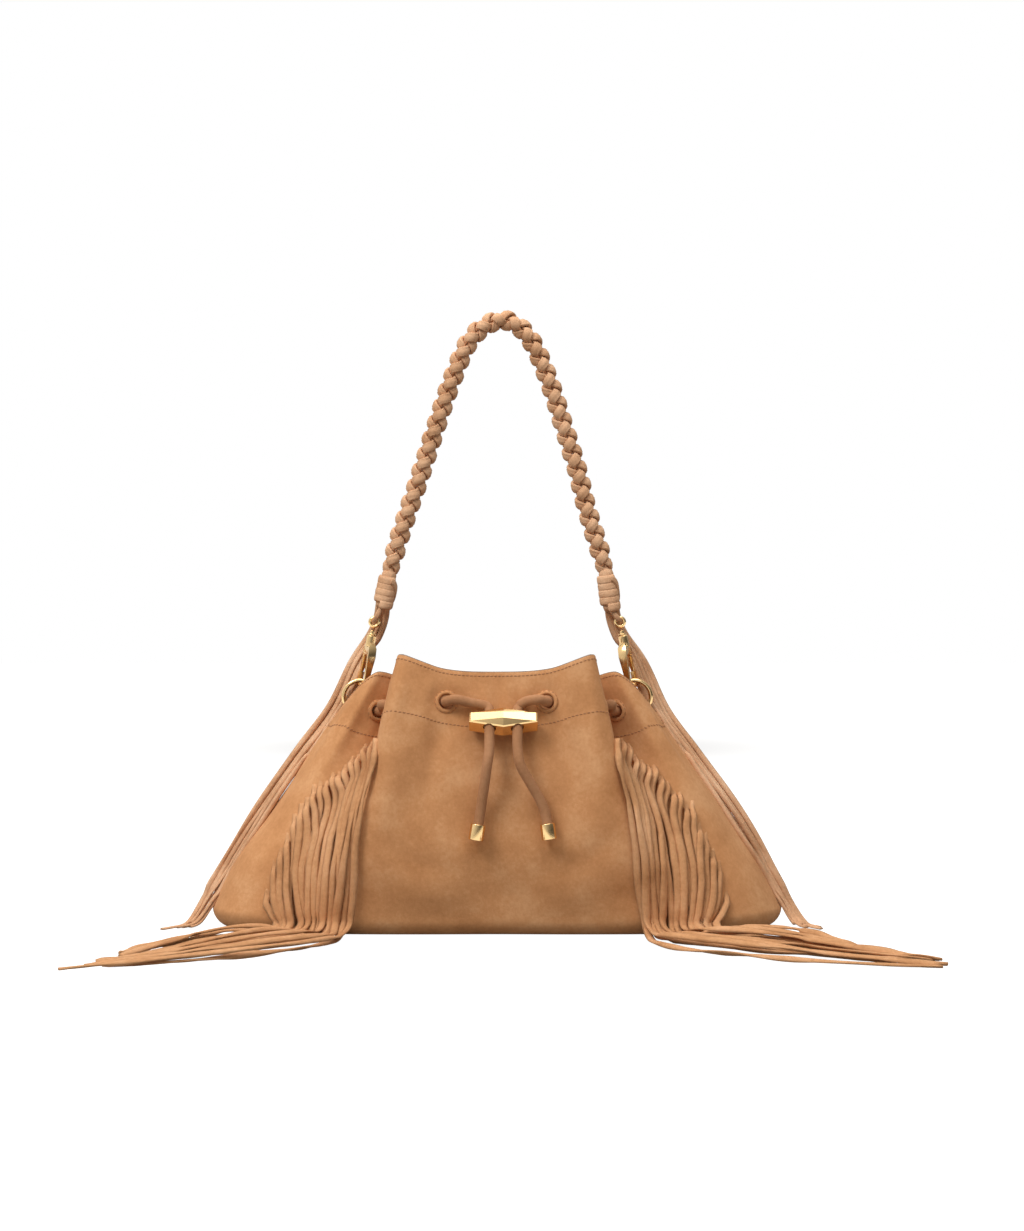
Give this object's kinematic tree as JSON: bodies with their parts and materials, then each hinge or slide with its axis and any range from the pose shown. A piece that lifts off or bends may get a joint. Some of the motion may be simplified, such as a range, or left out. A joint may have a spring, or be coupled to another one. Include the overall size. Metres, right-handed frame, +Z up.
{
  "type": "fringed suede drawstring shoulder bag",
  "caption": "Suede drawstring shoulder bag with long cut fringe, a round braided handle on two snap hooks, and a metal slide on the cord.",
  "frame": {"origin": "centre of the flat underside of the base, on the surface the bag stands on", "axes": "+X to the bag's right-hand side as seen from the front, +Y to its back, +Z up"},
  "size_m": [0.5008, 0.2725, 0.414],
  "materials": {
    "suede": "soft tan suede with a short nap",
    "lace": "tan suede lace and cord",
    "gold": "polished gold-tone plating"
  },
  "bodies": {
    "bag": {"front_panel": "suede", "back_panel": "suede", "base_panel": "suede", "drawstring": "lace", "eyelet_front_left_front": "suede", "eyelet_front_left_fold": "suede", "eyelet_front_left_side": "suede", "eyelet_front_right_front": "suede", "eyelet_front_right_fold": "suede", "eyelet_front_right_side": "suede", "eyelet_back_left_front": "suede", "eyelet_back_left_fold": "suede", "eyelet_back_left_side": "suede", "eyelet_back_right_front": "suede", "eyelet_back_right_fold": "suede", "eyelet_back_right_side": "suede", "end_cap_left": "gold", "end_cap_right": "gold", "fringe_left": "suede", "fringe_right": "suede", "ring_tab_left": "suede", "ring_tab_right": "suede"},
    "handle": {"handle_braid": "lace", "wrap_left": "lace", "wrap_right": "lace", "loop_left": "lace", "loop_right": "lace", "tassel_left": "lace", "tassel_right": "lace", "swivel_eye_left": "gold", "swivel_eye_right": "gold"},
    "hook_left": {"hook_left": "gold", "gate_pin_left": "gold"},
    "hook_right": {"hook_right": "gold", "gate_pin_right": "gold"},
    "gate_left": {"gate_left": "gold"},
    "gate_right": {"gate_right": "gold"},
    "ring_left": {"ring_left": "gold"},
    "ring_right": {"ring_right": "gold"},
    "cord_slide": {"cord_slide": "gold"}
  },
  "joints": [
    {"name": "handle_swing", "type": "hinge", "parent": "bag", "child": "handle", "pos_m": [0, 0, 0.1638], "axis": [1, 0, 0], "range_deg": [-55, 55], "deforming": ["tassel_left", "tassel_right"]},
    {"name": "hook_left_swivel", "type": "hinge", "parent": "handle", "child": "hook_left", "pos_m": [-0.0909, 0, 0.1638], "axis": [0.1908, 0, 0.9816], "range_deg": [-52, 3]},
    {"name": "hook_right_swivel", "type": "hinge", "parent": "handle", "child": "hook_right", "pos_m": [0.0909, 0, 0.1638], "axis": [-0.1908, 0, 0.9816], "range_deg": [-3, 52]},
    {"name": "gate_left_hinge", "type": "hinge", "parent": "hook_left", "child": "gate_left", "pos_m": [-0.0888, 0.00378, 0.18427], "axis": [-0.8823, -0.4384, 0.1715], "range_deg": [0, 25], "stiffness_Nm_per_rad": 0.01, "springref_deg": -20.05},
    {"name": "gate_right_hinge", "type": "hinge", "parent": "hook_right", "child": "gate_right", "pos_m": [0.0888, 0.00378, 0.18427], "axis": [-0.8823, 0.4384, -0.1715], "range_deg": [0, 25], "stiffness_Nm_per_rad": 0.01, "springref_deg": -20.05},
    {"name": "ring_left_spin", "type": "hinge", "parent": "bag", "child": "ring_left", "pos_m": [-0.093, 0, 0.153], "axis": [0, 1, 0], "continuous": true},
    {"name": "ring_right_spin", "type": "hinge", "parent": "bag", "child": "ring_right", "pos_m": [0.093, 0, 0.153], "axis": [0, 1, 0], "continuous": true},
    {"name": "slide_travel", "type": "slide", "parent": "bag", "child": "cord_slide", "axis": [0, -0.26, -0.9656], "range_m": [0, 0.03], "deforming": ["drawstring"]}
  ]
}
